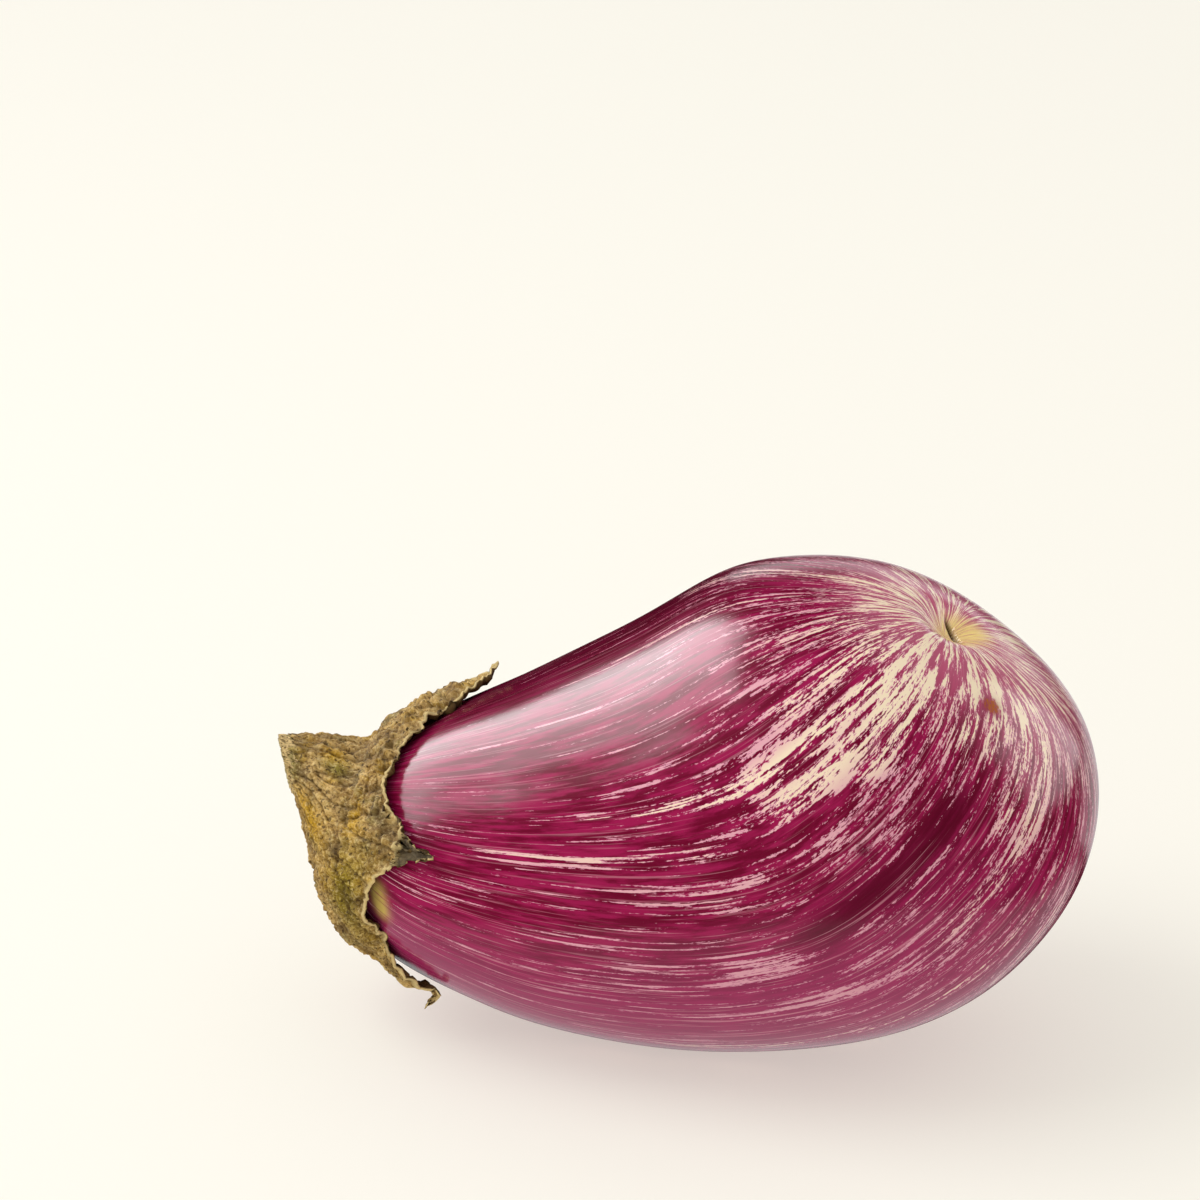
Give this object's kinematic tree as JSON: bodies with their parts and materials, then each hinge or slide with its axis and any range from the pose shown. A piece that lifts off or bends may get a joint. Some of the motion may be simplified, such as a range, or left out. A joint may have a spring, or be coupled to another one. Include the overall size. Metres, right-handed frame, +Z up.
{
  "type": "eggplant",
  "caption": "Striped eggplant lying on its side, a bent pear-shaped fruit with a leafy cap of pointed lobes and a short cut stem.",
  "frame": {"origin": "middle of the whole plan, on the surface that the fruit lies on", "axes": "+X from the cut stem to the blossom end, +Z up; the middle plane of the fruit is XZ"},
  "size_m": [0.1588, 0.0958, 0.0942],
  "materials": {
    "skin": "glossy thin skin, wine red with dry cream and pink streaks",
    "calyx": "dry, leathery, olive tan with brown specks",
    "stem": "dry woody stub with a pale fibrous cut face"
  },
  "bodies": {
    "root": {"fruit": "skin", "calyx": "calyx", "stem": "stem"}
  },
  "joints": []
}
